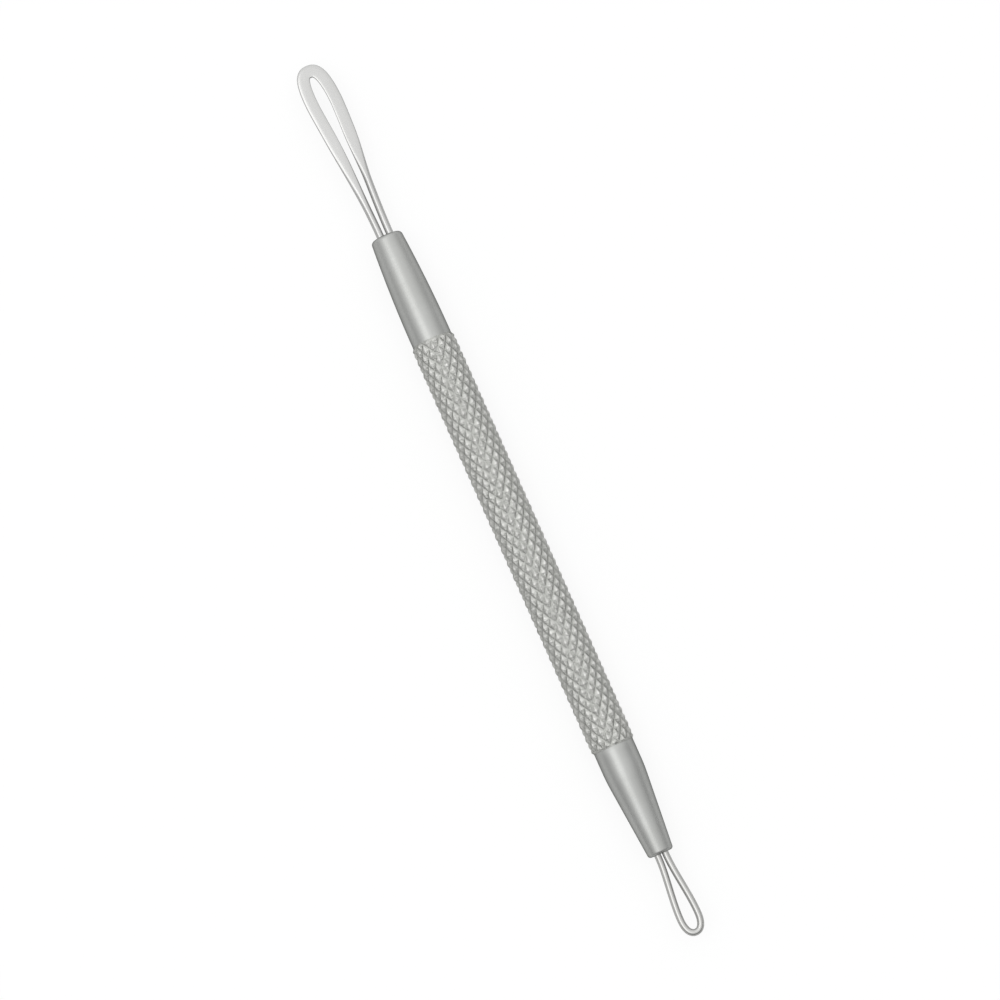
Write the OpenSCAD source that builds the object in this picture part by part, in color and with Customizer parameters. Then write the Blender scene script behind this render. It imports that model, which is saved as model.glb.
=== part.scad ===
/* [Grip] */
// Length of the knurled grip tube
grip_l = 58.2; // [50:0.2:66]
// Diameter over the crests of the knurl
knurl_d = 6.05; // [5.6:0.05:6.6]
// Depth of the knurl grooves
knurl_depth = 0.32; // [0.15:0.01:0.4]
// Number of grooves that wind round the grip in each direction
grooves = 14; // [10:2:18]
// Distance along the grip from one diamond to the next
diamond_l = 1.93; // [1.6:0.01:2.4]
// Plain chamfered edge at each end of the knurl
knurl_edge = 0.22; // [0.1:0.02:0.5]
// Bore of the grip tube
tube_bore_d = 4.0; // [3.4:0.1:4.4]

/* [Large end] */
// Length of the large nose that shows
large_nose_l = 15.1; // [12:0.1:18]
// Diameter of the large nose where it meets the grip
large_nose_base_d = 5.46; // [5.3:0.02:5.6]
// Diameter of the large nose at its tip
large_nose_tip_d = 4.35; // [4:0.05:4.8]
// Length of the large loop that shows
large_loop_l = 25.1; // [22:0.1:28]
// Thickness of the wire of the large loop
large_wire_d = 1.0; // [0.9:0.02:1.04]
// Distance of each leg of the large loop from the axis
large_leg_y = 0.66; // [0.62:0.01:0.66]
// Half of the large loop's width, at the middle of the wire
large_head_y = 1.6; // [1.4:0.02:1.8]
// Width of the wire where it is pressed flat
band_w = 1.7; // [1.4:0.02:1.8]
// Thickness of the wire where it is pressed flat
band_t = 0.46; // [0.36:0.02:0.6]
// Sideways set of the large loop's head
head_skew = 0.45; // [0:0.05:0.5]
// Bore in the large nose for the two legs
large_bore_d = 2.4; // [2.36:0.02:2.6]

/* [Small end] */
// Length of the small nose that shows
small_nose_l = 15.1; // [13:0.1:18]
// Diameter of the plain land next to the grip
land_d = 5.46; // [5.3:0.02:5.6]
// Length of the plain land
land_l = 2.6; // [2:0.1:4]
// Diameter of the small nose at its tip
small_nose_tip_d = 3.52; // [3.2:0.02:4]
// Length of the small loop that shows
small_loop_l = 11.5; // [10:0.1:13]
// Thickness of the wire of the small loop
small_wire_d = 0.9; // [0.8:0.02:0.92]
// Distance of each leg of the small loop from the axis
small_leg_y = 0.53; // [0.49:0.01:0.54]
// Half of the small loop's width, at the middle of the wire
small_head_y = 1.22; // [1:0.02:1.4]
// Bore in the small nose for the two legs
small_bore_d = 2.04; // [2.02:0.02:2.2]

/* [Joints inside] */
// Length of each nose's spigot inside the grip tube
spigot_l = 6; // [4:0.5:9]
// Depth of the bore for the legs
bore_l = 9; // [6:0.5:11]
// Length of the legs inside the bore
leg_l = 8.4; // [5:0.1:8.4]
// Depth of the solder below the mouth of the bore
solder_gap = 0.5; // [0.3:0.1:1]

/* [Hidden] */

// Radius of the rounded edge at each nose's tip
large_edge_r = 0.55;
small_edge_r = 0.42;
// Radius of the blend between the land and the taper of the small nose
land_blend_r = 26;
// Radius of the edge break on each spigot
spigot_edge = 0.3;
// Length over which a leg leaves the nose as a plain round wire
leg_out = 0.4;

// Places along the X axis, with the whole length centred on the origin
overall_l = large_loop_l + large_nose_l + grip_l + small_nose_l + small_loop_l;
large_tip_x = overall_l / 2 - large_loop_l;
grip_large_x = large_tip_x - large_nose_l;
grip_small_x = grip_large_x - grip_l;
small_tip_x = grip_small_x - small_nose_l;

// The knurl: crests and groove crossings take turns round each row
crest_r = knurl_d / 2;
groove_r = crest_r - knurl_depth;
cols = 2 * grooves;
rows = 2 * round((grip_l - 2 * knurl_edge) / diamond_l);
row_step = (grip_l - 2 * knurl_edge) / rows;
last_row = rows + 2;
// The axis stands this high when two neighbouring rows of crests rest on the surface
axis_z = crest_r * cos(180 / cols);

// Shape of the large loop, measured from the nose's face along the axis
large_widest = 0.785 * large_loop_l;
// Where each leg of the large loop begins to be flat, and where it is fully flat
flat_from = [3.5, 7.5];
flat_full = 15.1;
skew_from = 9;
// Squareness of the wire's section, round and pressed flat
round_power = 2;
flat_power = 4.5;
// Sides of each wire's section, and rings along each stretch of its path
wire_sides = 16;
leg_rings = 14;
head_rings = 10;

// Shape of the small loop, measured from the nose's face along the axis
small_widest = 0.77 * small_loop_l;

// A number between a and b
function mix(a, b, t) = a + (b - a) * t;
// A soft step from 0 to 1
function soft_step(t) = let (u = min(max(t, 0), 1)) u * u * (3 - 2 * u);
// A point on a cubic curve with four control points
function bezier(p, t) =
    pow(1 - t, 3) * p[0] + 3 * t * pow(1 - t, 2) * p[1] + 3 * t * t * (1 - t) * p[2] + pow(t, 3) * p[3];
// A number raised to a power with its sign kept
function signed_pow(v, p) = sign(v) * pow(abs(v), p);

// Half of a loop's path, from the leg to the crown: the leg's curve and then the head's
function half_path(leg, head) = concat(
    [for (i = [0 : leg_rings - 1]) bezier(leg, i / leg_rings)],
    [for (i = [0 : head_rings]) bezier(head, i / head_rings)]);

// The whole path of a loop, up one side and down the other
function loop_path(half) = concat(
    half, [for (i = [len(half) - 2 : -1 : 0]) [half[i][0], -half[i][1]]]);

// One ring of a wire: its width lies in the loop's plane and its thickness stands on it
function wire_ring(p, dir, w, t, power) = let (n = [-dir[1], dir[0]])
    [for (i = [0 : wire_sides - 1]) let (a = (i + 0.5) * 360 / wire_sides,
        u = w / 2 * signed_pow(cos(a), 2 / power),
        v = t / 2 * signed_pow(sin(a), 2 / power))
        [p[0] + n[0] * u, p[1] + n[1] * u, v]];

// The direction of a path at one of its points
function path_dir(path, i) = let (
    a = path[max(i - 1, 0)],
    b = path[min(i + 1, len(path) - 1)],
    d = i == 0 || i == len(path) - 1 ? [i == 0 ? 1 : -1, 0] : b - a)
    d / norm(d);

// Closed skin over a row of rings
module ring_skin(rings) {
    sides = len(rings[0]);
    ends = len(rings) - 1;
    points = [for (ring = rings) for (p = ring) p];
    walls = [for (k = [0 : ends - 1]) for (j = [0 : sides - 1]) let (
        a = k * sides + j,
        b = k * sides + (j + 1) % sides,
        c = b + sides,
        d = a + sides)
        each [[a, c, b], [a, d, c]]];
    caps = [[for (j = [0 : sides - 1]) j], [for (j = [sides - 1 : -1 : 0]) ends * sides + j]];
    polyhedron(points, concat(walls, caps));
}

// A round leg that runs straight down into the nose
module leg(y, d) {
    translate([-leg_l, y, 0]) rotate([0, 90, 0]) cylinder(d = d, h = leg_l + leg_out, $fn = 48);
}

// Both legs of a loop
module legs(y, d) {
    leg(y, d);
    leg(-y, d);
}

// Moves a shape that was drawn from the large nose's face
module at_large_tip() translate([large_tip_x, 0, axis_z]) children();

// Moves a shape that was drawn from the small nose's face, turned to the other end
module at_small_tip() translate([small_tip_x, 0, axis_z]) rotate([0, 0, 180]) children();

// A turned nose from its outline, with its bore for the legs, tip towards +X
module turned_nose(outline, length, bore_d) {
    difference() {
        translate([-length, 0, 0]) rotate([0, 90, 0]) rotate_extrude($fn = 96) polygon(outline);
        translate([-bore_l, 0, 0]) rotate([0, 90, 0]) cylinder(d = bore_d, h = bore_l + 1, $fn = 64);
    }
}

// The spigot and shoulder at the foot of a nose's outline
function spigot_outline(base_r) = let (r = tube_bore_d / 2)
    [[0, -spigot_l], [r - spigot_edge, -spigot_l], [r, spigot_edge - spigot_l], [r, 0], [base_r, 0]];

// The rounded edge at a nose's tip
function tip_outline(r, length, edge) = concat(
    [for (a = [0 : 15 : 90]) [r - edge + edge * cos(a), length - edge + edge * sin(a)]],
    [[0, length]]);

// Solder round two legs, filling the bore below its mouth
module solder(bore_d, y, d) {
    difference() {
        translate([-bore_l, 0, 0]) rotate([0, 90, 0])
            cylinder(d = bore_d, h = bore_l - solder_gap, $fn = 64);
        legs(y, d);
    }
}

// Radius of the knurl at one of its points
function knurl_r(k, j) = k == 0 || k == last_row ? groove_r : (k + j) % 2 == 0 ? crest_r : groove_r;
function row_x(k) = k == 0 ? 0 : k == last_row ? grip_l : knurl_edge + (k - 1) * row_step;

// The knurled tube: each diamond is a low pyramid between four groove crossings
module knurled_grip() color("silver") {
    points = [for (k = [0 : last_row]) for (j = [0 : cols - 1]) let (
        a = (j + 0.5) * 360 / cols,
        r = knurl_r(k, j))
        [row_x(k), r * sin(a), -r * cos(a)]];
    walls = [for (k = [0 : last_row - 1]) for (j = [0 : cols - 1]) let (
        a = k * cols + j,
        b = k * cols + (j + 1) % cols,
        c = b + cols,
        d = a + cols)
        each (k + j) % 2 == 0 ? [[a, b, d], [b, c, d]] : [[a, b, c], [a, c, d]]];
    caps = [[for (j = [cols - 1 : -1 : 0]) j], [for (j = [0 : cols - 1]) last_row * cols + j]];
    translate([grip_small_x, 0, axis_z]) difference() {
        polyhedron(points, concat(walls, caps));
        translate([-1, 0, 0]) rotate([0, 90, 0]) cylinder(d = tube_bore_d, h = grip_l + 2, $fn = 96);
    }
}

// The nose at the large end: its side is one long arc that leaves the grip straight
module large_end_nose() color("lightgray") {
    base_r = large_nose_base_d / 2;
    drop = (large_nose_base_d - large_nose_tip_d) / 2;
    run = large_nose_l - large_edge_r;
    arc_r = (run * run + drop * drop) / (2 * drop);
    steps = 12;
    side = [for (i = [1 : steps - 1]) let (z = run * i / steps)
        [base_r - arc_r + sqrt(arc_r * arc_r - z * z), z]];
    outline = concat(spigot_outline(base_r), side,
        tip_outline(large_nose_tip_d / 2, large_nose_l, large_edge_r));
    at_large_tip() turned_nose(outline, large_nose_l, large_bore_d);
}

// The nose at the small end: a plain land and then a straight taper
module small_end_nose() color("lightgray") {
    base_r = land_d / 2;
    tip_r = small_nose_tip_d / 2;
    run = small_nose_l - small_edge_r;
    blend_from = land_l;
    // The blend turns the side from straight to the taper's slope
    slope = atan((base_r - tip_r) / (run - blend_from - 1));
    steps = 5;
    side = [for (i = [0 : steps]) let (a = slope * i / steps)
        [base_r - land_blend_r * (1 - cos(a)), blend_from + land_blend_r * sin(a)]];
    outline = concat(spigot_outline(base_r), side,
        tip_outline(tip_r, small_nose_l, small_edge_r));
    at_small_tip() turned_nose(outline, small_nose_l, small_bore_d);
}

// The large loop: round legs and a head that is pressed flat
module large_loop() color("gainsboro") {
    crown = large_loop_l - band_w / 2;
    head_run = crown - large_widest;
    half = half_path(
        [[leg_out, large_leg_y], [0.25 * large_loop_l, large_leg_y],
         [0.72 * large_loop_l, 1.02 * large_head_y], [large_widest, large_head_y]],
        [[large_widest, large_head_y], [large_widest + 0.95 * head_run, large_head_y],
         [crown, 0.44 * large_head_y], [crown, 0]]);
    plain = loop_path(half);
    path = [for (p = plain) let (s = max(0, p[0] - skew_from) / (crown - skew_from))
        [p[0], p[1] + head_skew * s * s]];
    rings = [for (i = [0 : len(path) - 1]) let (
        x = plain[i][0],
        from = flat_from[plain[i][1] > 0 ? 0 : 1],
        f = soft_step((x - from) / (flat_full - from)))
        wire_ring(path[i], path_dir(path, i), mix(large_wire_d * 0.985, band_w, f),
            mix(large_wire_d * 0.985, band_t, f), mix(round_power, flat_power, f))];
    at_large_tip() union() {
        ring_skin(rings);
        legs(large_leg_y, large_wire_d);
    }
}

// The small loop: round wire all the way
module small_loop() color("gainsboro") {
    crown = small_loop_l - small_wire_d / 2;
    head_run = crown - small_widest;
    half = half_path(
        [[leg_out, small_leg_y], [0.26 * small_loop_l, small_leg_y],
         [0.53 * small_loop_l, small_head_y], [small_widest, small_head_y]],
        [[small_widest, small_head_y], [small_widest + 0.6 * head_run, small_head_y],
         [crown, 0.65 * small_head_y], [crown, 0]]);
    path = loop_path(half);
    d = small_wire_d * 0.985;
    rings = [for (i = [0 : len(path) - 1])
        wire_ring(path[i], path_dir(path, i), d, d, round_power)];
    at_small_tip() union() {
        ring_skin(rings);
        legs(small_leg_y, small_wire_d);
    }
}

// The solder that holds the large loop's legs
module large_loop_solder() color("darkgray") {
    at_large_tip() solder(large_bore_d, large_leg_y, large_wire_d);
}

// The solder that holds the small loop's legs
module small_loop_solder() color("darkgray") {
    at_small_tip() solder(small_bore_d, small_leg_y, small_wire_d);
}

knurled_grip();
large_end_nose();
small_end_nose();
large_loop();
small_loop();
large_loop_solder();
small_loop_solder();
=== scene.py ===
"""Looks of a double ended blackhead extractor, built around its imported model.

The tool lies along X with its large loop at +X. Sizes in the classes are in millimetres, but for those of
the lamp and the floor, which are in metres.
"""
import logging
import math
from dataclasses import dataclass
from enum import Enum
from typing import Any, Iterable, Sequence

import bmesh
import bpy
from mathutils import Matrix, Vector


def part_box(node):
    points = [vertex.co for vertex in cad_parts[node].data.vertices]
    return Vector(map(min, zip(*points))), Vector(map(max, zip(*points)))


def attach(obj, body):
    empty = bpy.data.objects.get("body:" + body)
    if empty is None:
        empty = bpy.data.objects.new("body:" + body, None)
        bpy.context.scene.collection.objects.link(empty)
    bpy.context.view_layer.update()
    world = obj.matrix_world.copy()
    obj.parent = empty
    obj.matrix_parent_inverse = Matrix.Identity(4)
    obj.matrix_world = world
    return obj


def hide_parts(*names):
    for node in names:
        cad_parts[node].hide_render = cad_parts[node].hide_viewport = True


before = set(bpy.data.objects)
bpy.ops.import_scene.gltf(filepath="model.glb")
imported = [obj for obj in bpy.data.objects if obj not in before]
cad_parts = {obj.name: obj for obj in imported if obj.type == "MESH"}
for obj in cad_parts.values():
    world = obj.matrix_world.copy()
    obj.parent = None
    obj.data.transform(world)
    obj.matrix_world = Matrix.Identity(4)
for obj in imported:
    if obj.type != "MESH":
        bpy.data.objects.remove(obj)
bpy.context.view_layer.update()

# Metres in a millimetre
MM = 0.001
LOG = logging.getLogger("extractor")
# A point on a plane, or another pair of numbers
Point = tuple[float, float]
# A place or a direction in the room
Place = tuple[float, float, float]


class End(Enum):
    """Which end of the tool a piece belongs to; the value is the sign of X there."""

    LARGE = 1
    SMALL = -1


def linear(code: str) -> tuple[float, float, float, float]:
    """Turns a colour as it is seen into the shader's linear one.

    Args:
        code: sRGB hex value, such as "#b4b6b3".

    Returns:
        Linear red, green, blue and an alpha of 1.
    """
    parts = [int(code[i : i + 2], 16) / 255 for i in (1, 3, 5)]
    red, green, blue = (c / 12.92 if c <= 0.04045 else ((c + 0.055) / 1.055) ** 2.4 for c in parts)
    return red, green, blue, 1.0


def mix(low: float, high: float, share: float) -> float:
    """Returns the number that lies the given share of the way from low to high."""
    return low + (high - low) * share


def soft_step(value: float) -> float:
    """Returns 0 below 0, 1 above 1 and a smooth rise between them."""
    share = min(max(value, 0.0), 1.0)
    return share * share * (3 - 2 * share)


def cubic(controls: Sequence[Point], share: float) -> Vector:
    """Finds a point on a cubic curve.

    Args:
        controls: the curve's four control points.
        share: how far along the curve, from 0 to 1.

    Returns:
        The point, as a vector of two numbers.
    """
    rest = 1 - share
    weights = (rest**3, 3 * share * rest**2, 3 * share**2 * rest, share**3)
    return sum((Vector(p) * w for p, w in zip(controls, weights)), Vector((0.0, 0.0)))


def arc(centre: Point, radius: float, start: float, stop: float, steps: int) -> list[Point]:
    """Lists points on a round stretch of an outline.

    Args:
        centre: station along the axis and radius from the axis.
        radius: the arc's own radius.
        start: first angle in degrees, where 0 points away from the axis and 90 along it.
        stop: last angle in degrees.
        steps: number of steps between them.

    Returns:
        Stations and radii, both ends included.
    """
    angles = (math.radians(mix(start, stop, i / steps)) for i in range(steps + 1))
    return [(centre[0] + radius * math.sin(a), centre[1] + radius * math.cos(a)) for a in angles]


def add_node(
    tree: bpy.types.NodeTree, kind: str, inputs: dict[str | int, Any] | None = None, **settings: Any
) -> bpy.types.Node:
    """Adds a shader node with its settings and links.

    Args:
        tree: the tree that gets the node.
        kind: Blender's name of the node's type.
        inputs: socket name or number, and the value or the output socket that it gets.
        **settings: the node's own properties.

    Returns:
        The new node.
    """
    node = tree.nodes.new(kind)
    for name, value in settings.items():
        setattr(node, name, value)
    for name, value in (inputs or {}).items():
        if isinstance(value, bpy.types.NodeSocket):
            tree.links.new(value, node.inputs[name])
        else:
            node.inputs[name].default_value = value
    return node


@dataclass(frozen=True)
class SteelFinish:
    """Stainless steel with the fine marks of its making: satin where they are close and shallow."""

    name: str
    slot: str
    # Colour of the clean metal, and of duller parts; on the knurl also of the grooves' painted shade
    colour: str
    dull_and_shade: str
    roughness: float
    # How much the roughness wanders over the surface
    roughness_play: float
    # Size of one mark along the tool and round it, in millimetres
    mark_along: float
    mark_round: float
    # Height of the marks, in thousandths of a millimetre
    mark_height: float
    # What grazing light gets back: the marks shade one another there
    edge_tint: str = "#6c6d6c"
    # Levels of the marks' noise between which the roughness moves
    mark_levels: Point = (0.3, 0.7)
    # Faint dull clouds: their width in millimetres, the noise levels where they start and are full, and
    # how dull they get
    cloud: float = 3.5
    cloud_levels: Point = (0.35, 0.75)
    cloud_share: float = 0.45

    def marks(self, tree: bpy.types.NodeTree, place: bpy.types.NodeSocket) -> bpy.types.Node:
        """Adds the marks: rings where they are long round the tool, lines where they are long along it.

        Args:
            tree: the material's nodes.
            place: where on the piece, in metres.

        Returns:
            The node that gives the height of the marks as a share.
        """
        along, around = 1 / (self.mark_along * MM), 1 / (self.mark_round * MM)
        stretched = add_node(tree, "ShaderNodeMapping", {"Vector": place, "Scale": (along, around, around)})
        return add_node(tree, "ShaderNodeTexNoise", {
            "Vector": stretched.outputs["Vector"], "Scale": 1.0, "Detail": 3.0, "Roughness": 0.6})

    def dullness_and_shade(self, tree: bpy.types.NodeTree, place: bpy.types.NodeSocket) -> bpy.types.NodeSocket:
        """Adds the share of dull metal, here faint clouds a few millimetres wide.

        Args:
            tree: the material's nodes.
            place: where on the piece, in metres.

        Returns:
            The socket that gives the share, from 0 for clean to 1 for dull.
        """
        clouds = add_node(tree, "ShaderNodeTexNoise", {
            "Vector": place, "Scale": 1 / (self.cloud * MM), "Detail": 2.0})
        spread = add_node(tree, "ShaderNodeMapRange", {
            "Value": clouds.outputs["Fac"], "To Min": 0.0, "To Max": self.cloud_share,
            "From Min": self.cloud_levels[0], "From Max": self.cloud_levels[1]})
        return spread.outputs["Result"]

    def material(self) -> bpy.types.Material:
        """Builds the finish's material.

        Returns:
            The material, with its colour, roughness and relief all from nodes.
        """
        made = bpy.data.materials.new(self.name)
        made.use_nodes = True
        tree = made.node_tree
        tree.nodes.clear()
        place = add_node(tree, "ShaderNodeTexCoord").outputs["Object"]
        dull_and_shade = self.dullness_and_shade(tree, place)
        marks = self.marks(tree, place).outputs["Fac"]
        # Mixes in the darker colour; on the knurl this also lays the painted groove shade
        colour = add_node(tree, "ShaderNodeMix", {
            0: dull_and_shade, 6: linear(self.colour), 7: linear(self.dull_and_shade)}, data_type="RGBA")
        rough = add_node(tree, "ShaderNodeMapRange", {
            "Value": marks, "From Min": self.mark_levels[0], "From Max": self.mark_levels[1],
            "To Min": self.roughness - self.roughness_play, "To Max": self.roughness + self.roughness_play})
        relief = add_node(tree, "ShaderNodeBump", {
            "Height": marks, "Strength": 1.0, "Distance": self.mark_height * MM * MM})
        metal = add_node(tree, "ShaderNodeBsdfPrincipled", {
            "Base Color": colour.outputs[2], "Metallic": 1.0, "Roughness": rough.outputs["Result"],
            "Specular Tint": linear(self.edge_tint), "Normal": relief.outputs["Normal"]})
        add_node(tree, "ShaderNodeOutputMaterial", {"Surface": metal.outputs["BSDF"]})
        return made


@dataclass(frozen=True)
class KnurledFinish(SteelFinish):
    """Steel with a cross knurl rolled in: crests in the clean colour, and grooves darkened with painted
    shade.
    """

    # Height of the tool's axis, and the radii above which the crests keep the clean colour and below which
    # the grooves are fully darkened with painted shade, in millimetres
    axis_height: float = 3.006
    unshaded_above: float = 2.98
    full_shade_below: float = 2.72
    # Dull bruises on the crests: their width in millimetres, and the noise levels where they start and
    # are full
    bruise: float = 0.5
    bruise_levels: Point = (0.5, 0.7)

    def dullness_and_shade(self, tree: bpy.types.NodeTree, place: bpy.types.NodeSocket) -> bpy.types.NodeSocket:
        """Adds the share of darker metal: painted shade that deepens down a groove, and dull bruises on some
        crests.

        Args:
            tree: the material's nodes.
            place: where on the grip, in metres.

        Returns:
            The socket that gives the share, from 0 for the clean colour to 1 for the darker colour.
        """
        from_axis = add_node(tree, "ShaderNodeVectorMath", {
            0: place, 1: (0.0, 0.0, self.axis_height * MM)}, operation="SUBTRACT")
        across = add_node(tree, "ShaderNodeVectorMath", {
            0: from_axis.outputs["Vector"], 1: (0.0, 1.0, 1.0)}, operation="MULTIPLY")
        radius = add_node(tree, "ShaderNodeVectorMath", {0: across.outputs["Vector"]}, operation="LENGTH")
        # Painted shade: the darker colour deepens down each groove with its depth, standing in for the shade
        # that falls there
        depth = add_node(tree, "ShaderNodeMapRange", {
            "Value": radius.outputs["Value"],
            "From Min": self.full_shade_below * MM, "From Max": self.unshaded_above * MM, "To Min": 1.0, "To Max": 0.0})
        patches = add_node(tree, "ShaderNodeTexNoise", {
            "Vector": place, "Scale": 1 / (self.bruise * MM), "Detail": 1.0})
        bruised = add_node(tree, "ShaderNodeMapRange", {
            "Value": patches.outputs["Fac"], "To Min": 0.0, "To Max": 1.0,
            "From Min": self.bruise_levels[0], "From Max": self.bruise_levels[1]})
        either = add_node(tree, "ShaderNodeMath", {
            0: depth.outputs["Result"], 1: bruised.outputs["Result"]}, operation="MAXIMUM")
        return either.outputs["Value"]


@dataclass(frozen=True)
class SolderFinish(SteelFinish):
    """Silver solder as it cooled: a dull grey skin with small lumps."""

    def marks(self, tree: bpy.types.NodeTree, place: bpy.types.NodeSocket) -> bpy.types.Node:
        """Adds lumps that are as wide as they are long."""
        return add_node(tree, "ShaderNodeTexNoise", {
            "Vector": place, "Scale": 1 / (self.mark_along * MM), "Detail": 4.0})


# Turned on a lathe and tumbled: rings too fine to see one by one give a soft silvery sheen.
# Real rings are finer still; they are drawn 0.1 mm wide, about as fine as the picture can hold.
TURNED_STEEL = SteelFinish(
    name="satin_turned_steel", slot="turned_steel", colour="#adaeac", dull_and_shade="#a5a6a3",
    roughness=0.4, roughness_play=0.05, mark_along=0.1, mark_round=6.0, mark_height=1.2)

# Rolled knurl on the same steel, in a lighter grey than the noses, its grooves darkened with painted shade.
# Its rough speckle, about a third of a millimetre wide, is drawn higher than the real one so that it shows.
KNURLED_STEEL = KnurledFinish(
    name="cross_knurled_steel", slot="knurled_steel", colour="#cececb", dull_and_shade="#a8a9a5",
    roughness=0.38, roughness_play=0.08, mark_along=0.32, mark_round=0.32, mark_height=130.0)

# Wire flattened in a press and buffed along the tool: smooth, with faint lengthwise lines.
PRESSED_WIRE = SteelFinish(
    name="pressed_steel_wire", slot="pressed_wire", colour="#b8b8b7", dull_and_shade="#b2b2b0",
    roughness=0.26, roughness_play=0.03, mark_along=4.0, mark_round=0.14, mark_height=0.2,
    edge_tint="#9a9a99")

# Drawn wire, polished: as smooth as the pressed wire, and darker where it is seen at a slant.
ROUND_WIRE = SteelFinish(
    name="polished_round_wire", slot="round_wire", colour="#b9b9b7", dull_and_shade="#afafad",
    roughness=0.26, roughness_play=0.03, mark_along=3.0, mark_round=0.1, mark_height=0.6,
    edge_tint="#7c7c7b")

# Silver solder as it cooled in the bore: a patchy grey, darker than the steel round it.
SILVER_SOLDER = SolderFinish(
    name="cooled_silver_solder", slot="silver_solder", colour="#8f918c", dull_and_shade="#6f716c",
    roughness=0.42, roughness_play=0.08, mark_along=0.3, mark_round=0.3, mark_height=20.0)


@dataclass
class ToolAxis:
    """Places along the tool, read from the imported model, in millimetres."""

    height: float
    large_tip: float
    small_tip: float
    # Where the grip starts and stops
    grip: Point

    @classmethod
    def from_frame(cls) -> "ToolAxis":
        """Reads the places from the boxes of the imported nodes.

        Returns:
            The tool's axis, with its places filled in.
        """
        low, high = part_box("knurled_grip")
        return cls(
            height=(low[2] + high[2]) / 2 / MM,
            large_tip=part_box("large_end_nose")[1][0] / MM,
            small_tip=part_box("small_end_nose")[0][0] / MM,
            grip=(low[0] / MM, high[0] / MM),
        )

    def from_tip(self, end: End) -> Matrix:
        """Finds the move that takes a piece to its end of the tool.

        Args:
            end: the end that the piece belongs to.

        Returns:
            The move into metres, for a piece drawn in millimetres along X with the nose's face at 0.
        """
        tip = self.large_tip if end is End.LARGE else self.small_tip
        turn = 0.0 if end is End.LARGE else math.pi
        place = Matrix.Translation(Vector((tip, 0.0, self.height)) * MM)
        return place @ Matrix.Rotation(turn, 4, "Z") @ Matrix.Scale(MM, 4)


def finished_piece(
    mesh: bmesh.types.BMesh, name: str, finish: SteelFinish, node: str, smooth_angle: float
) -> bpy.types.Object:
    """Turns a mesh that is in its place into a piece of the tool.

    Args:
        mesh: the mesh, in metres and in its place; it is freed.
        name: name of the new piece.
        finish: finish that dresses it.
        node: CAD node that the piece stands for.
        smooth_angle: edges sharper than this many degrees stay crisp.

    Returns:
        The new object, at the origin and riding on the tool.
    """
    data = bpy.data.meshes.new(name)
    mesh.to_mesh(data)
    mesh.free()
    data.shade_smooth()
    data.set_sharp_from_angle(angle=math.radians(smooth_angle))
    data.materials.append(finish.material())
    piece = bpy.data.objects.new(name, data)
    bpy.context.scene.collection.objects.link(piece)
    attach(piece, "root")
    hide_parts(node)
    LOG.info("%s: %d vertices, %d faces, in place of %s", name, len(data.vertices), len(data.polygons), node)
    return piece


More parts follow.
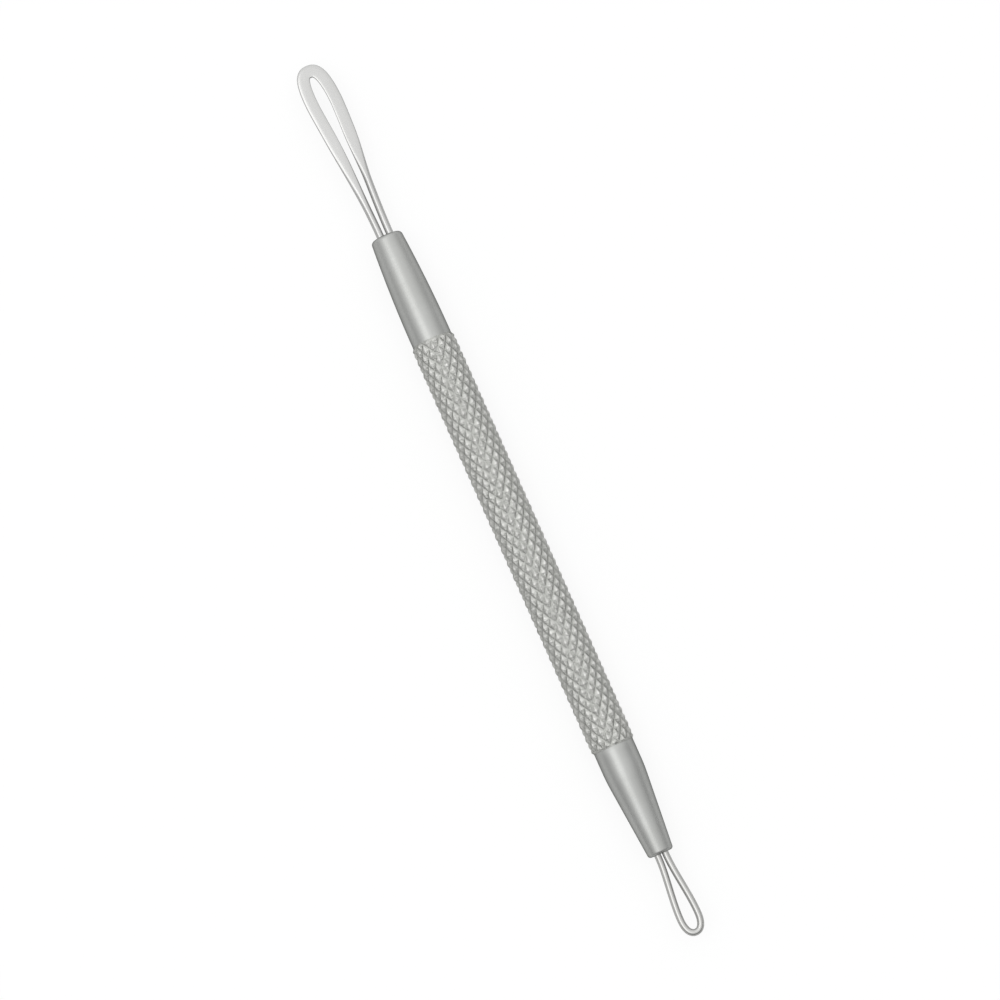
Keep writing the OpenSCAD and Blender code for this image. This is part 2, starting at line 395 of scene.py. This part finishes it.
@dataclass
class KnurledGrip:
    """The knurled tube: diamonds with small, rounded-over tops between grooves that wind both ways."""

    axis: ToolAxis
    # Grooves that wind each way, and rows of crests along the grip
    grooves: int = 14
    rows: int = 60
    # Margin that the rows keep from each end, and radii of the grooves' bottom and of the bore
    plain_edge: float = 0.22
    groove_radius: float = 2.705
    bore_radius: float = 2.0
    # How far the flank of a diamond reaches in from its groove, and the rounding of every edge
    flank: float = 0.42
    rounding: float = 0.06
    # Each end of the tube is plain, and the knurl comes up out of it over this length, in this many steps
    end_radius: float = 2.735
    run_out: float = 0.5
    run_out_steps: int = 5
    # Points closer than this become one, and a cut takes points closer than this as lying on it
    weld: float = 0.001
    cut_slack: float = 1e-5
    # Edges sharper than this many degrees stay crisp
    crisp_angle: float = 50
    finish: SteelFinish = KNURLED_STEEL

    @property
    def row_step(self) -> float:
        """Distance along the grip from one row of crests to the next."""
        return (self.axis.grip[1] - self.axis.grip[0] - 2 * self.plain_edge) / self.rows

    def flat_lattice(self) -> bmesh.types.BMesh:
        """Builds the diamonds on a flat sheet.

        Returns:
            A mesh in millimetres whose X is the way round the grip at the bottom of the grooves, Y the way
            along it and Z the height over the grooves. It closes round the grip and is longer than it.
        """
        # A unit grid is stretched to one square for each diamond, and skewed so that the squares stand on end
        mesh = bmesh.new()
        spare = self.grooves + 2
        long_way = self.rows + 2 * spare
        bmesh.ops.create_grid(mesh, x_segments=self.grooves, y_segments=long_way, size=0.5)
        column = 2 * math.pi * self.groove_radius / (2 * self.grooves)
        cells = Matrix.Translation((self.grooves / 2, long_way / 2 - spare, 0)) @ Matrix.Diagonal(
            (self.grooves, long_way, 1, 1))
        skew = Matrix((
            (column, -column, 0, 0), (self.row_step, self.row_step, 0, 0), (0, 0, 1, 0), (0, 0, 0, 1)))
        bmesh.ops.transform(mesh, matrix=skew @ cells, verts=mesh.verts)
        bmesh.ops.inset_individual(
            mesh, faces=mesh.faces, thickness=self.flank, depth=self.axis.height - self.groove_radius,
            use_even_offset=True)
        return mesh

    def wrap(self, mesh: bmesh.types.BMesh) -> None:
        """Rolls the flat sheet round the tool's axis and closes it.

        Args:
            mesh: the flat sheet, which is changed.
        """
        half_column = math.pi / (2 * self.grooves)
        start = self.axis.grip[0] + self.plain_edge + self.row_step
        for vertex in mesh.verts:
            angle = vertex.co.x / self.groove_radius + half_column
            radius = self.groove_radius + vertex.co.z
            vertex.co = Vector((start + vertex.co.y, radius * math.sin(angle), -radius * math.cos(angle)))
        bmesh.ops.remove_doubles(mesh, verts=mesh.verts, dist=self.weld)

    def trim(self, mesh: bmesh.types.BMesh) -> None:
        """Cuts the knurl to its length and runs it out to the plain round ends.

        Args:
            mesh: the rolled sheet, which is changed.
        """
        for face_x, outwards in ((self.axis.grip[0], -1), (self.axis.grip[1], 1)):
            for step in range(self.run_out_steps + 1):
                cut_x = face_x - outwards * self.run_out * step / self.run_out_steps
                bmesh.ops.bisect_plane(
                    mesh, geom=[*mesh.verts, *mesh.edges, *mesh.faces], dist=self.cut_slack,
                    plane_co=(cut_x, 0, 0), plane_no=(outwards, 0, 0), clear_outer=step == 0)
            for vertex in mesh.verts:
                inside = (face_x - vertex.co.x) * outwards
                radius = math.hypot(vertex.co.y, vertex.co.z)
                wanted = mix(self.end_radius, radius, soft_step(inside / self.run_out))
                vertex.co.yz = vertex.co.yz * (wanted / radius)

    def close_ends(self, mesh: bmesh.types.BMesh) -> None:
        """Adds the flat end rings and the bore.

        Args:
            mesh: the knurl with its open ends, which is changed.
        """
        rims = [e for e in mesh.edges if e.is_boundary]
        inner = bmesh.ops.extrude_edge_only(mesh, edges=rims)["geom"]
        for vertex in (g for g in inner if isinstance(g, bmesh.types.BMVert)):
            vertex.co.yz = vertex.co.yz.normalized() * self.bore_radius
        bmesh.ops.bridge_loops(mesh, edges=[e for e in mesh.edges if e.is_boundary])

    def build(self) -> bpy.types.Object:
        """Makes the finished grip.

        Returns:
            The grip, dressed and in its place.
        """
        mesh = self.flat_lattice()
        self.wrap(mesh)
        bmesh.ops.bevel(
            mesh, geom=mesh.edges, offset=self.rounding, offset_type="OFFSET", segments=2, profile=0.5,
            affect="EDGES", clamp_overlap=True, material=-1)
        self.trim(mesh)
        self.close_ends(mesh)
        place = Matrix.Translation((0, 0, self.axis.height * MM)) @ Matrix.Scale(MM, 4)
        bmesh.ops.transform(mesh, matrix=place, verts=mesh.verts)
        bmesh.ops.recalc_face_normals(mesh, faces=mesh.faces)
        return finished_piece(mesh, "knurled_grip_tube", self.finish, "knurled_grip", self.crisp_angle)


@dataclass
class TurnedNose:
    """A nose turned from bar: a spigot in the grip, a curved or tapered side, a rounded tip and a bore."""

    axis: ToolAxis
    end: End
    length: float
    base_radius: float
    tip_radius: float
    edge_radius: float
    bore_radius: float
    # Plain cylinder next to the grip, and the radius that leads it into the taper; none on a plain ogive
    land: float = 0.0
    blend_radius: float = 0.0
    spigot_radius: float = 1.995
    spigot_length: float = 6.0
    bore_depth: float = 9.0
    # Broken edges at the shoulder, at the bore's mouth and at the spigot's end
    shoulder_break: float = 0.03
    mouth_break: float = 0.12
    spigot_break: float = 0.3
    # Length that the blend is taken to use up when the taper's slope is found
    blend_run: float = 1.0
    # Angle in degrees where the ogive's arc leaves the shoulder
    ogive_start: float = 0.4
    # Steps of the ogive, the land, the blend, the taper, the rounded tip and the turn
    ogive_steps: int = 28
    land_steps: int = 3
    blend_steps: int = 8
    taper_steps: int = 6
    tip_steps: int = 10
    turns: int = 144
    # Points closer than this become one
    weld: float = 0.0005
    # Edges sharper than this many degrees stay crisp
    crisp_angle: float = 32
    finish: SteelFinish = TURNED_STEEL

    def side(self) -> list[Point]:
        """Lists the side from the shoulder to the start of the rounded tip.

        Returns:
            Stations from the shoulder and radii; the last two points give the slope where the tip starts.
        """
        run = self.length - self.edge_radius
        drop = self.base_radius - self.tip_radius
        if not self.land:
            sweep = (run * run + drop * drop) / (2 * drop)
            last = math.degrees(math.asin(run / sweep))
            return arc((0.0, self.base_radius - sweep), sweep, self.ogive_start, last, self.ogive_steps)
        slope = math.degrees(math.atan(drop / (run - self.land - self.blend_run)))
        centre = (self.land, self.base_radius - self.blend_radius)
        blend = arc(centre, self.blend_radius, 0.0, slope, self.blend_steps)
        foot = blend[-1]
        land_shares = (i / self.land_steps for i in range(self.land_steps))
        land = [(mix(self.shoulder_break, self.land, share), self.base_radius) for share in land_shares]
        taper_shares = (i / self.taper_steps for i in range(1, self.taper_steps + 1))
        taper = [(mix(foot[0], run, share), mix(foot[1], self.tip_radius, share)) for share in taper_shares]
        return land + blend + taper

    def outline(self) -> list[Point]:
        """Lists the whole outline, from the axis at the spigot's end round to the axis in the bore.

        Returns:
            Stations from the shoulder and radii.
        """
        spigot, chamfer, edge = self.spigot_radius, self.spigot_break, self.shoulder_break
        # The shoulder's broken edge bulges a little, and the side starts beyond it
        bulge, side_from = 0.3 * edge, 0.6 * edge
        side = self.side()
        (x0, r0), (x1, r1) = side[-2:]
        slope = math.degrees(math.atan2(r0 - r1, x1 - x0))
        centre = (self.length - self.edge_radius, r1 - self.edge_radius * math.cos(math.radians(slope)))
        tip = arc(centre, self.edge_radius, slope, 90, self.tip_steps)
        mouth = self.bore_radius + self.mouth_break
        return [
            (-self.spigot_length, 0.0), (-self.spigot_length, spigot - chamfer),
            (chamfer - self.spigot_length, spigot), (0.0, spigot),
            (0.0, self.base_radius - edge), (bulge, self.base_radius - bulge),
            *[p for p in side if p[0] > side_from], *tip[1:],
            (self.length, mouth), (self.length - self.mouth_break, self.bore_radius),
            (self.length - self.bore_depth, self.bore_radius), (self.length - self.bore_depth, 0.0)]

    def build(self) -> bpy.types.Object:
        """Makes the finished nose by turning its outline round the axis.

        Returns:
            The nose, dressed and in its place.
        """
        mesh = bmesh.new()
        points = [mesh.verts.new((x - self.length, 0.0, r)) for x, r in self.outline()]
        for a, b in zip(points, points[1:]):
            mesh.edges.new((a, b))
        bmesh.ops.spin(
            mesh, geom=[*mesh.verts, *mesh.edges], cent=(0, 0, 0), axis=(1, 0, 0), dvec=(0, 0, 0),
            angle=2 * math.pi, steps=self.turns, use_merge=True)
        bmesh.ops.remove_doubles(mesh, verts=mesh.verts, dist=self.weld)
        bmesh.ops.transform(mesh, matrix=self.axis.from_tip(self.end), verts=mesh.verts)
        bmesh.ops.recalc_face_normals(mesh, faces=mesh.faces)
        name = f"{self.end.name.lower()}_end_nose"
        return finished_piece(mesh, f"{name}_turned", self.finish, name, self.crisp_angle)


@dataclass
class WireLoop:
    """A loop bent from one wire, with both legs going down into a nose."""

    axis: ToolAxis
    end: End
    # How far the loop stands out of its nose, and how thick its wire is
    length: float
    wire: float
    # How far the middle of the wire is from the tool's axis, in the legs and where the head is widest
    leg_offset: float
    head_offset: float
    # Station where the head is widest
    widest: float
    # Pulls on the leg's curve: two shares of the length, and one of the head's offset at the second
    leg_pull: tuple[float, float, float]
    # Pulls on the head's curve: a share of its run, and one of its offset
    head_pull: Point
    finish: SteelFinish
    # Wire width and thickness where the head is pressed flat; the wire's own size when it isn't
    band: Point = (0.0, 0.0)
    # How square the outer and the inner edge of the pressed band are
    edge_powers: Point = (4.0, 7.0)
    # Where each leg starts to be flat, +Y leg first, and where both are fully flat
    flat_from: Point = (0.0, 0.0)
    flat_full: float = 0.0
    # Sideways set of the head, and where it starts
    skew: float = 0.0
    skew_from: float = 0.0
    # Length of each leg inside the nose, and how far it comes out before it starts to bend
    buried: float = 8.4
    leg_out: float = 0.4
    # Corners of one ring of wire, and rings along the buried length, the leg and half of the head
    sides: int = 32
    buried_rings: int = 4
    leg_rings: int = 60
    head_rings: int = 32
    # Edges sharper than this many degrees stay crisp
    crisp_angle: float = 60

    @property
    def crown(self) -> float:
        """Station of the middle of the wire at the loop's end."""
        return self.length - (self.band[0] or self.wire) / 2

    def half_path(self) -> list[Vector]:
        """Lists the middle of the wire from the end of one leg to the crown, before any sideways set.

        Returns:
            Points in the loop's plane, as station and distance from the tool's axis.
        """
        top = (self.widest, self.head_offset)
        run = self.crown - self.widest
        leave, arrive, rise = self.leg_pull
        leg = [(self.leg_out, self.leg_offset), (leave * self.length, self.leg_offset),
               (arrive * self.length, rise * self.head_offset), top]
        head = [top, (self.widest + self.head_pull[0] * run, self.head_offset),
                (self.crown, self.head_pull[1] * self.head_offset), (self.crown, 0.0)]
        legs = [cubic(leg, i / self.leg_rings) for i in range(self.leg_rings)]
        heads = [cubic(head, i / self.head_rings) for i in range(self.head_rings + 1)]
        depths = (mix(-self.buried, self.leg_out, i / self.buried_rings) for i in range(self.buried_rings))
        buried = [Vector((depth, self.leg_offset)) for depth in depths]
        return buried + legs + heads

    def flatness(self, station: float, side: int) -> float:
        """Finds how far the wire is pressed at a place on the loop.

        Args:
            station: distance from the nose's face.
            side: 0 for the leg that is drawn on +Y, 1 for the other.

        Returns:
            A share, from 0 for round to 1 for fully flat.
        """
        if not self.band[0]:
            return 0.0
        start = self.flat_from[side]
        return soft_step((station - start) / (self.flat_full - start))

    def section(self, flat: float) -> list[Point]:
        """Lists the wire's section: across the loop's plane and up from it.

        Args:
            flat: how far the wire is pressed, from 0 to 1.

        Returns:
            Points in millimetres, one for each corner of the ring.
        """
        width, thickness = (mix(self.wire, pressed or self.wire, flat) / 2 for pressed in self.band)
        points = []
        for i in range(self.sides):
            angle = 2 * math.pi * (i + 0.5) / self.sides
            across, up = math.cos(angle), math.sin(angle)
            # From a circle to a band whose outer edge is rounder than the one in the opening
            power = mix(2.0, self.edge_powers[0 if across > 0 else 1], flat)
            points.append((width * math.copysign(abs(across) ** (2 / power), across),
                           thickness * math.copysign(abs(up) ** (2 / power), up)))
        return points

    def stations(self) -> Iterable[tuple[Vector, Vector, float]]:
        """Follows the wire from the end of one leg to the end of the other.

        Yields:
            The middle of the wire, its direction and its flatness.
        """
        half = self.half_path()
        back = [Vector((p.x, -p.y)) for p in reversed(half[:-1])]
        plain = half + back
        reach = self.crown - self.skew_from
        leans = (self.skew * (max(0.0, p.x - self.skew_from) / reach) ** 2 for p in plain)
        path = [Vector((p.x, p.y + lean)) for p, lean in zip(plain, leans)]
        for i, point in enumerate(path):
            ahead = path[min(i + 1, len(path) - 1)] - path[max(i - 1, 0)]
            side = 0 if plain[i].y > 0 else 1
            yield point, ahead.normalized(), self.flatness(plain[i].x, side)

    def build(self) -> bpy.types.Object:
        """Makes the finished loop as rings of wire that are bridged one to the next.

        Returns:
            The loop, dressed and in its place.
        """
        mesh = bmesh.new()
        last: list[bmesh.types.BMEdge] = []
        rings = list(self.stations())
        for number, (middle, way, flat) in enumerate(rings):
            is_end = number in (0, len(rings) - 1)
            ring = bmesh.ops.create_circle(mesh, cap_ends=is_end, segments=self.sides, radius=1.0)["verts"]
            across = Vector((-way.y, way.x))
            for vertex, (out, up) in zip(ring, self.section(flat)):
                vertex.co = Vector((*(middle + across * out), up))
            own = set(ring)
            edges = [e for e in {e for v in ring for e in v.link_edges} if set(e.verts) <= own]
            if last:
                bmesh.ops.bridge_loops(mesh, edges=last + edges)
            last = edges
        bmesh.ops.transform(mesh, matrix=self.axis.from_tip(self.end), verts=mesh.verts)
        bmesh.ops.recalc_face_normals(mesh, faces=mesh.faces)
        name = f"{self.end.name.lower()}_loop"
        return finished_piece(mesh, f"{name}_wire", self.finish, name, self.crisp_angle)


@dataclass
class Studio:
    """Camera, soft light and a plain pale floor."""

    # Camera: what it looks at and from how far, in millimetres; its height and heading in degrees
    target: Place = (-0.5, 0.4, 2.98)
    distance: float = 600.0
    elevation: float = 83.434
    heading: float = 23.91
    # Focal length and width of the picture behind it, in millimetres, and the nearest and farthest things
    # that it sees, in metres
    lens: float = 165.6
    sensor: float = 36.0
    sight: Point = (0.01, 20.0)
    # Sky: the way to its brightest part, the cosines of the angle from there at which it is darkest and
    # brightest, and its levels at those
    sky_leans: Place = (0.44, 0.0, 0.82)
    sky_fades: Point = (-0.06, 0.85)
    sky_levels: Point = (0.2, 1.32)
    # Lamp: where it hangs, its length along X and its width, in metres, and how bright its face is, where 1
    # is white
    lamp_place: Place = (0.02, 0.38, 1.1)
    lamp_size: Point = (0.95, 0.62)
    lamp_level: float = 1.0
    # Floor: a round dish whose low rim hides the horizon, with rings in its flat part, all in metres;
    # points closer than its weld become one
    floor_radius: float = 4.2
    rim_height: float = 0.36
    flat_rings: Point = (0.5, 2.0)
    rim_steps: int = 8
    floor_turns: int = 64
    floor_weld: float = 1e-6
    floor_colour: str = "#e8e8e8"
    # What the camera and the metal see of the floor: a white of its own, and a share that follows the light
    floor_glow: float = 0.85
    floor_shade: float = 0.14

    def camera(self) -> None:
        """Places the camera at the photograph's viewing angle."""
        height, turn = math.radians(self.elevation), math.radians(self.heading)
        level = math.cos(height)
        back = Vector((-level * math.cos(turn), level * math.sin(turn), math.sin(height)))
        data = bpy.data.cameras.new("camera")
        data.lens = self.lens
        data.sensor_width = self.sensor
        data.clip_start, data.clip_end = self.sight
        camera = bpy.data.objects.new("camera", data)
        bpy.context.scene.collection.objects.link(camera)
        camera.location = (Vector(self.target) + back * self.distance) * MM
        camera.rotation_euler = (-back).to_track_quat("-Z", "Y").to_euler()
        bpy.context.scene.camera = camera

    def lamp(self) -> None:
        """Adds the one flat soft lamp, which faces the tool."""
        data = bpy.data.lights.new("key_softbox", "AREA")
        data.shape = "RECTANGLE"
        data.size, data.size_y = self.lamp_size
        data.energy = self.lamp_level * math.pi * self.lamp_size[0] * self.lamp_size[1]
        lamp = bpy.data.objects.new("key_softbox", data)
        bpy.context.scene.collection.objects.link(lamp)
        lamp.location = self.lamp_place
        away = Vector(self.lamp_place).normalized()
        side = Vector((1, 0, 0))
        up = away.cross(side).normalized()
        lamp.rotation_euler = Matrix((side, up, away)).transposed().to_euler()

    def sky(self) -> None:
        """Lights the room: a soft dome, bright overhead and towards the large end, dim low down elsewhere."""
        world = bpy.data.worlds.new("studio")
        world.use_nodes = True
        tree = world.node_tree
        tree.nodes.clear()
        way = add_node(tree, "ShaderNodeTexCoord").outputs["Generated"]
        brightest = Vector(self.sky_leans).normalized()
        toward = add_node(tree, "ShaderNodeVectorMath", {0: way, 1: brightest}, operation="DOT_PRODUCT")
        dome = add_node(tree, "ShaderNodeMapRange", {
            "Value": toward.outputs["Value"], "From Min": self.sky_fades[0], "From Max": self.sky_fades[1],
            "To Min": self.sky_levels[0], "To Max": self.sky_levels[1]})
        light = add_node(tree, "ShaderNodeBackground", {
            "Color": linear("#ffffff"), "Strength": dome.outputs["Result"]})
        add_node(tree, "ShaderNodeOutputWorld", {"Surface": light.outputs["Background"]})
        bpy.context.scene.world = world

    def floor_material(self) -> bpy.types.Material:
        """Builds the pale floor: it looks white to the camera and in the metal, and keeps a soft shadow.

        Returns:
            The floor's material.
        """
        made = bpy.data.materials.new("pale_floor")
        made.use_nodes = True
        tree = made.node_tree
        tree.nodes.clear()
        path = add_node(tree, "ShaderNodeLightPath")
        seen = add_node(tree, "ShaderNodeMath", {
            0: path.outputs["Is Camera Ray"], 1: path.outputs["Is Glossy Ray"]}, operation="MAXIMUM")
        shown = add_node(tree, "ShaderNodeMath", {
            0: seen.outputs["Value"], 1: path.outputs["Is Transmission Ray"]}, operation="MAXIMUM")
        plain = add_node(tree, "ShaderNodeBsdfDiffuse", {"Color": linear(self.floor_colour)})
        shade = self.floor_shade
        shaded = add_node(tree, "ShaderNodeBsdfDiffuse", {"Color": (shade, shade, shade, 1.0)})
        glow = add_node(tree, "ShaderNodeEmission", {
            "Color": linear("#ffffff"), "Strength": self.floor_glow})
        white = add_node(tree, "ShaderNodeAddShader", {
            0: glow.outputs["Emission"], 1: shaded.outputs["BSDF"]})
        both = add_node(tree, "ShaderNodeMixShader", {
            0: shown.outputs["Value"], 1: plain.outputs["BSDF"], 2: white.outputs["Shader"]})
        add_node(tree, "ShaderNodeOutputMaterial", {"Surface": both.outputs["Shader"]})
        return made

    def floor(self) -> None:
        """Makes the floor as one turned dish."""
        mesh = bmesh.new()
        outline = [(radius, 0.0) for radius in (0.0, *self.flat_rings, self.floor_radius - self.rim_height)]
        for i in range(1, self.rim_steps + 1):
            angle = math.radians(90 * i / self.rim_steps)
            outline.append((self.floor_radius - self.rim_height * (1 - math.sin(angle)),
                            self.rim_height * (1 - math.cos(angle))))
        points = [mesh.verts.new((r, 0.0, z)) for r, z in outline]
        for a, b in zip(points, points[1:]):
            mesh.edges.new((a, b))
        bmesh.ops.spin(
            mesh, geom=[*mesh.verts, *mesh.edges], cent=(0, 0, 0), axis=(0, 0, 1), dvec=(0, 0, 0),
            angle=2 * math.pi, steps=self.floor_turns, use_merge=True)
        bmesh.ops.remove_doubles(mesh, verts=mesh.verts, dist=self.floor_weld)
        bmesh.ops.recalc_face_normals(mesh, faces=mesh.faces)
        data = bpy.data.meshes.new("floor")
        mesh.to_mesh(data)
        mesh.free()
        data.shade_smooth()
        data.materials.append(self.floor_material())
        floor = bpy.data.objects.new("floor", data)
        bpy.context.scene.collection.objects.link(floor)

    def build(self) -> None:
        """Sets up the camera, the sky, the floor and the lamp."""
        self.camera()
        self.sky()
        self.floor()
        self.lamp()


def solder_pools() -> None:
    """Dresses the solder in both bores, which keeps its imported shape."""
    material = SILVER_SOLDER.material()
    for name in ("large_loop_solder", "small_loop_solder"):
        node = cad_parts[name]
        node.data.materials.clear()
        node.data.materials.append(material)
        LOG.info("%s: packed shape, new finish", name)


def main() -> None:
    """Builds the studio and then the tool, piece by piece."""
    logging.basicConfig(level=logging.INFO, format="%(name)s: %(message)s")
    bpy.context.scene.view_settings.view_transform = "Standard"
    Studio().build()
    axis = ToolAxis.from_frame()
    KnurledGrip(axis).build()
    TurnedNose(
        axis, End.LARGE, length=15.1, base_radius=2.73, tip_radius=2.175, edge_radius=0.55,
        bore_radius=1.2).build()
    TurnedNose(
        axis, End.SMALL, length=15.1, base_radius=2.73, tip_radius=1.76, edge_radius=0.42, bore_radius=1.02,
        land=2.6, blend_radius=26.0).build()
    WireLoop(
        axis, End.LARGE, length=25.1, wire=1.0, leg_offset=0.66, head_offset=1.6,
        leg_pull=(0.25, 0.72, 1.02), widest=19.7, head_pull=(0.95, 0.44), finish=PRESSED_WIRE,
        band=(1.7, 0.46), flat_from=(3.5, 7.5), flat_full=15.1, skew=0.45, skew_from=9.0).build()
    WireLoop(
        axis, End.SMALL, length=11.5, wire=0.9, leg_offset=0.53, head_offset=1.22,
        leg_pull=(0.26, 0.53, 1.0), widest=8.855, head_pull=(0.6, 0.65), finish=ROUND_WIRE).build()
    solder_pools()


if __name__ == "__main__":
    main()
